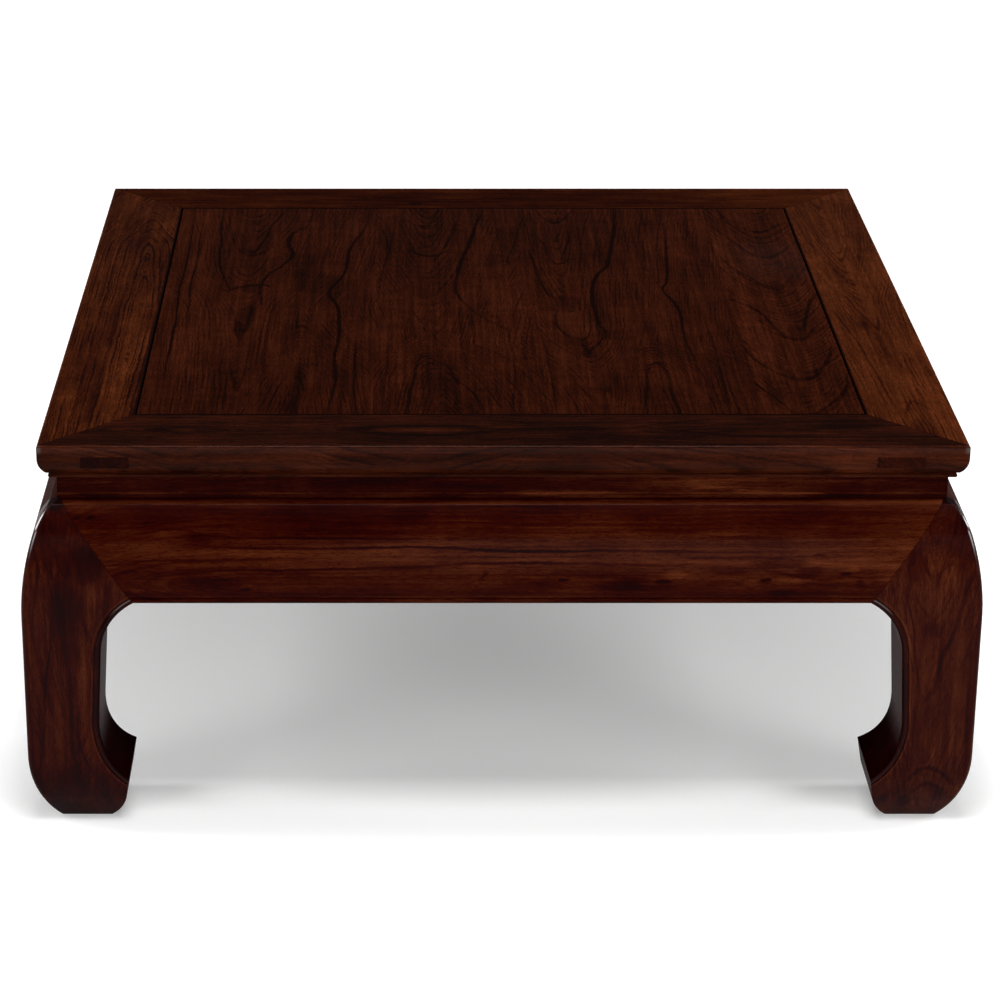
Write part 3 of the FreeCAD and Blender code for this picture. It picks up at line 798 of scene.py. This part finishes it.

# %% [markdown]
# ## The aprons and the waist
# An apron was sawn from a thick plank and then swelled outward with a plane, so its figure is
# cut at a changing slant. The front one has a flame that starts near its left end and runs along
# its middle, with a string of pin knots in its right half. Above it the waist, set back in the
# shadow, is a plain dark strip. Aprons and legs share a mitred shoulder, so the joint's line is
# drawn on both, straight from the corner under the waist to the inner corner of the opening. The
# bead along the opening is milled in the solids; a little relief rounds it more, as years of
# rubbing do.

# %% Joints, wear and painted light of the aprons
BEAD_WIDTH, APRON_BEAD_RELIEF = 5.5, 0.8
SHOULDER_FOOT = (91.5, 246.5)
SHOULDER_TOP = (20.5, 345.4)
shoulder_run = (SHOULDER_TOP[0] - SHOULDER_FOOT[0], SHOULDER_TOP[1] - SHOULDER_FOOT[1])
shoulder_length = math.hypot(*shoulder_run)
SHOULDER_ACROSS = (shoulder_run[1] / shoulder_length, -shoulder_run[0] / shoulder_length)


def shoulder_lines(x, y, z):
    """The dark hairline of the mitre between apron and leg."""
    inward = from_edge(x).most(from_edge(y))
    off = ((inward - SHOULDER_FOOT[0]) * SHOULDER_ACROSS[0]
           + (height(z) - SHOULDER_FOOT[1]) * SHOULDER_ACROSS[1])
    return hairline(off, MITRE_WIDTH) * 0.2


def painted_apron_light(x, y, z):
    """Painted shade, darker and redder towards the ledge, on it and along the foot; a painted
    highlight on the ledge's arris, and a dark line just above the bead.
    """
    up = height(z)
    return (step(up, 300, 338) * 0.24 + (1 - step(up, 255, 290)) * 0.14
            - hairline(up - 342.6, 1.8) * 0.35 + step(up, 344.2, 345.2) * 0.30
            + hairline(up - 256.5, 2.2) * 0.12)


def painted_front_apron_light(x, y, z):
    """Painted light: the front apron is darker at its left and along its foot, lighter at its
    right.
    """
    low = 1 - step(height(z), 262, 300)
    left = 1 - step(from_left(x), 180, 640)
    right = step(from_left(x), 740, 900) * (0.12 + step(height(z), 300, 316) * 0.08)
    return left * 0.09 - right + low * 0.06


def rounded_bead(from_opening_mm):
    """A half round relief over the width of the bead, 1 at its crest."""
    off = (from_opening_mm - BEAD_WIDTH / 2) * (2 / BEAD_WIDTH)
    return (1 - off * off).most(0.0)


def apron_bead(x, y, z):
    """The bead along the foot of an apron, rounded a little more than it was milled."""
    return rounded_bead(height(z) - SHOULDER_FOOT[1]) * APRON_BEAD_RELIEF


def hazy_belly(x, y, z):
    """The fullest part of the belly keeps a faint wax gloss."""
    band = step(height(z), 274, 298) * (1 - step(height(z), 304, 334))
    return band * step(from_left(x), 180, 480) * (1 - step(from_left(x), 740, 880)) * 0.24


# shoulder_lines is the mitre's dark joint; the other paints light and shade on the apron.
APRON_SHADES = [shoulder_lines, painted_apron_light]


def on_front_apron(x, y, z):
    return from_left(x), height(z) + (from_edge(y) - 10).most(0.0) * 0.5


def on_side_apron(x, y, z):
    return from_back(y), height(z) + (from_edge(x) - 10).most(0.0) * 0.5


print("the shoulder mitre is", round(shoulder_length, 1), "mm long")

# %% Sketch of the front apron
FRONT_APRON_STROKES = [
    ([(48, 338.5), (87, 338.3)], 0.16, 0.9), ([(95, 338), (187, 337.6)], 0.22, 1.1),
    ([(178, 328), (303, 327), (345, 325.5)], 0.22, 0.9),
    ([(100, 310), (113, 316.7), (123, 320.3), (140, 319), (153, 316.7), (163, 314),
     (177, 312.5), (253, 312.5), (337, 311.3), (480, 311.5)], 0.22, 0.9),
    ([(70, 305), (120, 306), (187, 302), (400, 303), (445, 300), (630, 300), (663, 298.3),
     (713, 297.5), (780, 295)], 0.19, 1.0),
    ([(57, 285), (103, 289.7), (120, 290.3), (270, 290.8)], 0.19, 0.9),
    ([(104, 269), (106, 272), (113, 275.3), (127, 277.5), (170, 280.8), (270, 281.7),
     (387, 285), (420, 286.7), (453, 287.5), (640, 286)], 0.35, 1.1),
    ([(104, 269), (107, 263), (111, 260.5), (120, 258.5), (140, 256)], 0.26, 1.0),
    ([(417, 268.3), (437, 270)], 0.16, 0.8),
    ([(638, 310.8), (730, 310), (763, 307.5)], 0.16, 0.9),
    ([(660, 282.5), (680, 283.3), (697, 282.5), (713, 280.8), (763, 272.5), (780, 271.7),
     (790, 273.3), (802, 277.5)], 0.32, 1.2), ([(813, 283.3), (850, 281.3)], 0.19, 0.9),
    ([(580, 336.5), (630, 336)], 0.16, 0.8), ([(638, 332.8), (673, 332.5)], 0.16, 0.9)]
FRONT_APRON_SMUDGES = [
    ((51, 330.3), (4.5, 1.8), 0.9), ((45, 337), (34, 6), -0.2), ((68, 307), (44, 7), 0.3),
    ((127, 315), (18, 4.5), -0.2), ((157, 310), (15, 6), 0.3), ((168, 269), (42, 10), 0.28),
    ((202, 261.3), (6, 1.5), 0.7), ((203, 265), (7, 1.8), -0.2), ((363, 330), (24, 8), 0.25),
    ((407, 311.3), (10, 2), 0.6), ((355, 291), (42, 3.5), -0.2), ((490, 291.5), (52, 3), -0.2),
    ((400, 305.5), (120, 3.5), -0.1), ((520, 272), (7, 1.7), 0.9), ((503, 266), (24, 7), 0.3),
    ((575, 265), (28, 7), 0.28), ((617.5, 270), (11, 2.1), 0.8), ((585, 271), (22, 3.5), 0.4),
    ((629, 277), (15, 4.5), -0.25), ((680, 280), (22, 5), 0.45), ((730, 287), (34, 5.5), 0.4),
    ((760, 279), (18, 6), 0.4), ((715, 270), (6, 1.9), 0.9), ((702, 268), (8, 4), -0.22),
    ((738, 269.5), (22, 4.5), -0.28), ((732, 258), (18, 3.5), 0.35), ((770, 295), (9, 1.8), 0.6),
    ((798, 277.5), (6.5, 1.9), 0.7), ((804, 281), (9, 3), -0.2), ((813, 266.7), (6, 6), 0.3)]
print("front apron:", len(FRONT_APRON_STROKES), "veins,", len(FRONT_APRON_SMUDGES), "knots")

# %% The four aprons
# A short dark tick crosses the grain of the front apron.
TICK = ([(272, 437), (276, 439.5), (281, 443)], 1.0, 2.2)
APRON_LINES = [(12, 0.3, 1.4), (24, 0.25, 1.3), (38, 0.3, 1.3), (52, 0.3, 1.3)]
front_apron = sketch_on(
    "X", on_front_apron,
    [([(0, 269), (300, 266), (914, 262)],
      [(0, 30), (60, 12), (104, 0), (160, -6), (300, -10), (914, -14)])],
    APRON_LINES, FRONT_APRON_SMUDGES, 61.0, APRON_SHADES + [painted_front_apron_light], [hazy_belly],
    FRONT_APRON_STROKES, [TICK], [apron_bead])
finish("apron_front", "X", front_apron, stops=RED_TIMBER, tone=-0.12, seed=61.0, ring_width=5.0,
       ring_dark=0.18)
for number, (name, axis, place) in enumerate((
        ("apron_back", "X", on_front_apron), ("apron_left", "Y", on_side_apron),
        ("apron_right", "Y", on_side_apron))):
    seed = 67.0 + 6 * number
    shift = 120 * (number + 1)
    sketch = [([(0, 270), (914, 256)],
               [(0, 30), (shift, 0), (shift + 200, -14), (shift + 400, -18), (914, -10)])]
    drawing = sketch_on(axis, place, sketch, [(0, 0.7, 1.4)] + APRON_LINES, (), seed, APRON_SHADES,
                        carved=[apron_bead])
    finish(name, axis, drawing, stops=RED_TIMBER, tone=-0.12, seed=seed, ring_width=7.0,
           ring_dark=0.22)

# %% The waist
def waist_foot_line(x, y, z):
    """A thin pale line along the foot of the waist."""
    return hairline(height(z) - 350.2, 1.5) * -0.30


WAIST_SMUDGES = [
    ((700, 366), (130, 22), -0.34), ((515, 354), (50, 5), -0.25), ((300, 366), (210, 24), 0.14),
    ((95, 358), (60, 12), -0.08), ((622, 369), (12, 3), 0.5), ((666, 356), (26, 3), 0.45),
    ((790, 352), (40, 3), 0.45)]

for number, (name, axis) in enumerate((
        ("waist_front", "X"), ("waist_back", "X"), ("waist_left", "Y"), ("waist_right", "Y"))):
    seed = 90.0 + 5 * number
    place = on_front_apron if axis == "X" else on_side_apron
    sketch = [([(0, 352), (914, 364)], [(0, 10), (300, -4), (600, 4), (914, -8)])]
    drawing = sketch_on(axis, place, sketch, [(0, 0.6, 1.2), (7, 0.5, 1.1)], WAIST_SMUDGES, seed,
                        [waist_foot_line])
    finish(name, axis, drawing, stops=RED_TIMBER, tone=0.12, seed=seed, ring_width=4.0,
           streaky=1.4, patchy=1.4, specular=0.012)

# %% [markdown]
# ## The legs
# Each leg is cut from one thick billet with the grain upright. The saw leaves a long V on the
# belly of the right leg and a dark flame down the middle of the left one; on the inner faces and
# under the hoof the same rings come out as straight lines and as end grain. The inner faces were
# scraped but hardly waxed, so they are duller than the outer ones, most of all in the hollow over
# the toe; painted shade makes them darker too, darkest in that hollow. Hands have rubbed a gloss
# on the shoulder; painted shade darkens the shoulder and the bead, and a painted highlight
# lightens the arris beside the bead.

# %% The bead on the legs
ARCH_CENTRE, ARCH_RADIUS = (119.86, 191.36), 62.0
HOOF_CENTRE, HOOF_RADIUS = (138.67, 114.82), 85.0
SHANK_LEAN = 0.0551
HOOF_TOP = 119.5
LEG_BEAD_RELIEF = 2.2


def round_distance(across, up, centre, radius):
    off, rise = across - centre[0], up - centre[1]
    return (off * off + rise * rise) ** 0.5 - radius


def from_opening(x, y, z):
    """Millimetres from the edge of the opening, over the outer faces of a leg."""
    inward, up = from_edge(x).most(from_edge(y)), height(z)
    below = (ARCH_CENTRE[1] - up).most(0.0)
    arch = round_distance(inward, up.most(ARCH_CENTRE[1]), ARCH_CENTRE, ARCH_RADIUS)
    hoof = round_distance(inward, up, HOOF_CENTRE, HOOF_RADIUS)
    return hoof + (arch - below * SHANK_LEAN - hoof) * step(up, HOOF_TOP - 3, HOOF_TOP + 3)


def leg_bead(x, y, z):
    return rounded_bead(from_opening(x, y, z)) * LEG_BEAD_RELIEF


def painted_bead_light(x, y, z):
    """Painted shade darkens the bead, and a painted highlight lightens the arris beyond it."""
    off = from_opening(x, y, z)
    return hairline(off - 2.8, 2.9) * 0.28 - hairline(off - 8.2, 1.3) * 0.22


def burnished_bead(x, y, z):
    """A hard gloss on the outer flank of the bead, where it turns under the apron."""
    return hairline(from_opening(x, y, z) - 4.6, 1.2) * step(height(z), 232, 244)


def burnished_ridge(x, y, z):
    """The ridge between a leg's two outer faces, burnished where it rounds the shoulder."""
    off = abs(from_edge(x) - from_edge(y))
    return (1 - step(off, 2.0, 5.5)) * step(height(z), 292, 318) * 0.8


print("bead:", BEAD_WIDTH, "mm wide, rounded by", LEG_BEAD_RELIEF, "mm more on the legs")

# %% The inner faces and the shoulder
def on_leg(side_x, side_y):
    """Millimetres up the leg, and across it from its outer corner round both of its faces."""
    def place(x, y, z):
        inward_x = HALF - x * (1000 * side_x)
        inward_y = HALF - y * (1000 * side_y)
        low = inward_x.least(inward_y)
        return height(z), inward_x - inward_y + low + (low - 14).most(0.0) * 0.5
    return place


def facing_inward(shader, side_x, side_y):
    """How far a face of a leg looks towards the middle of the table, and how far up."""
    to_right, to_back, upward = axes(shader.node("TexCoord", {}, {}, output="Normal"))
    inner = (to_right * -side_x).most(to_back * -side_y)
    return step(inner, 0.2, 0.5), upward


def inner_faces(sides, on_face, over_toe):
    """A strength on the inner faces of a leg, with its own value in the hollow over the toe."""
    def strength(x, y, z):
        inner, upward = facing_inward(x.shader, *sides)
        return inner * (step(upward, 0.02, 0.40) * (over_toe - on_face) + on_face)
    return strength


def painted_shoulder_shade(x, y, z):
    """Painted shade: the leg is darker from the rounded shoulder up."""
    return step(height(z), 278, 312) * 0.20


def shoulder_wax(x, y, z):
    """Wax left on the rounded shoulder, a faint veil over the dark timber."""
    return step(height(z), 284, 316) * 0.16


def finish_leg(name, tone, seed, crowns, lines, smudges, strokes=(), arches=()):
    sides = -1 if "left" in name else 1, -1 if "front" in name else 1
    # The shades are the mitre's dark joint, then painted shade on the bead, the shoulder and the
    # inner faces, darkest over the toe, and a painted highlight beside the bead.
    drawing = sketch_on("Z", on_leg(*sides), crowns, lines, smudges, seed,
                        [shoulder_lines, painted_bead_light, painted_shoulder_shade,
                         inner_faces(sides, 0.15, 0.5)],
                        [burnished_ridge, burnished_bead, shoulder_wax], strokes, arches,
                        [leg_bead], [inner_faces(sides, 1.0, 1.0)],
                        [inner_faces(sides, 0.75, 0.98)])
    finish(name, "Z", drawing, stops=RED_TIMBER, tone=tone, seed=seed, ring_dark=0.18,
           specular=0.036)


print("the bead leaves the hoof", HOOF_TOP, "mm above the floor")

# %% Front left leg
finish_leg("leg_front_left", tone=0.11, seed=120.0, crowns=[
    ([(0, 22), (100, 28), (200, 27), (345, 24)], [(0, 60), (120, 6), (250, -14), (345, -26)])
], lines=[(13, 0.3, 1.4), (-10, 0.25, 1.4)], smudges=[
    ((284, 42), (20, 22), 0.5), ((343, 17), (7, 9), 0.6), ((238, 25), (40, 19), 0.5),
    ((192, 27), (30, 11), 0.5), ((160, 27), (22, 7), 0.45), ((188, 51), (14, 4), 0.5),
    ((38, 0), (11, 11), 0.4), ((24, 26), (50, 60), 0.4), ((140, 40), (56, 7), -0.2),
    ((130, 8), (46, 10), -0.1), ((256, 50), (16, 7), -0.14)
], strokes=[
    ([(202, -9), (214, -10), (238, -8), (266, -3), (284, -1), (300, -4)], 0.56, 1.1),
    ([(270, 13), (292, 4)], 0.56, 1.1), ([(269, 15), (292, 28)], 0.56, 1.2),
    ([(202, 48), (220, 43), (264, 35)], 0.72, 1.4),
    ([(50, -12), (64, -8), (90, -3), (160, 1), (200, 8), (254, 11)], 0.52, 1.2),
    ([(44, 44), (74, 28), (94, 25), (120, 26), (150, 25)], 0.6, 1.4),
    ([(42, 62), (56, 50), (70, 40), (92, 33), (114, 31), (134, 34), (148, 32)], 0.6, 1.3)
], arches=[([(8, 13), (30, 12), (57, 13)], 0.9, 1.6)])

# %% Front right leg
finish_leg("leg_front_right", tone=0.02, seed=127.0, crowns=[
    ([(0, 30), (345, 29)], [(0, 40), (226, -24), (273, -36), (345, -52)])
], lines=[(16, 0.25, 1.4), (-12, 0.25, 1.4)], smudges=[
    ((285, 50), (18, 9), 0.4), ((218, 30), (9, 11), 0.45), ((175, 31), (32, 9), -0.14),
    ((118, 26), (24, 9), 0.3), ((120, 0), (60, 10), -0.18), ((22, 46), (9, 9), 0.5),
    ((22, 68), (9, 8), 0.4), ((34, 10), (11, 9), 0.35), ((343, 24), (6, 10), 0.5)
], strokes=[
    ([(273, 30), (278, 36), (304, 46)], 0.64, 1.6), ([(273, 30), (280, 22), (290, 14)], 0.4, 1.4),
    ([(226, 29), (242, 41), (262, 50)], 0.44, 1.1),
    ([(226, 29), (236, 22), (262, 10)], 0.44, 1.1),
    ([(140, 33), (150, 37), (190, 45), (230, 50), (258, 58)], 0.4, 1.1),
    ([(140, 33), (150, 26), (190, 18), (210, 10), (230, 4), (260, -2), (280, -8)], 0.76, 1.7),
    ([(90, -12), (160, -10.6)], 0.44, 1.2)
], arches=[
    ([(-6, 46), (12, 61), (26, 66), (40, 58), (50, 44)], 0.8, 2.0),
    ([(0, 28), (14, 43), (27, 47), (38, 38)], 0.8, 2.0)
])

# %% Back legs
finish_leg("leg_back_left", tone=0.0, seed=134.0, crowns=[
    ([(0, 30), (345, 34)], [(0, 30), (120, 0), (240, -20), (345, -34)])
], lines=[(0, 0.6, 1.6), (-14, 0.5, 1.4), (14, 0.4, 1.4)], smudges=[
    ((180, 32), (60, 14), 0.35)
])
finish_leg("leg_back_right", tone=0.0, seed=141.0, crowns=[
    ([(0, 34), (345, 22)], [(0, -30), (250, 0), (345, 20)])
], lines=[(0, 0.6, 1.6), (-12, 0.5, 1.4), (14, 0.4, 1.4)], smudges=[
    ((110, 30), (60, 12), 0.35)
])

# %% [markdown]
# ## The battens
# Three bars slide across the underside of the panel and keep it flat. Nobody polishes them: they
# keep a plain sawn figure and are the one place where the timber is a little paler.

# %% Battens
for number in (1, 2, 3):
    seed = 160.0 + 5 * number
    sketch = [([(0, 400), (914, 500)], [(0, 0), (914, 30)])]
    drawing = sketch_on("X", on_front_rail, sketch, [(0, 0.4, 1.5)], (), seed)
    finish(f"batten_{number}", "X", drawing, tone=-0.15, seed=seed, ring_width=5.0)

# %% [markdown]
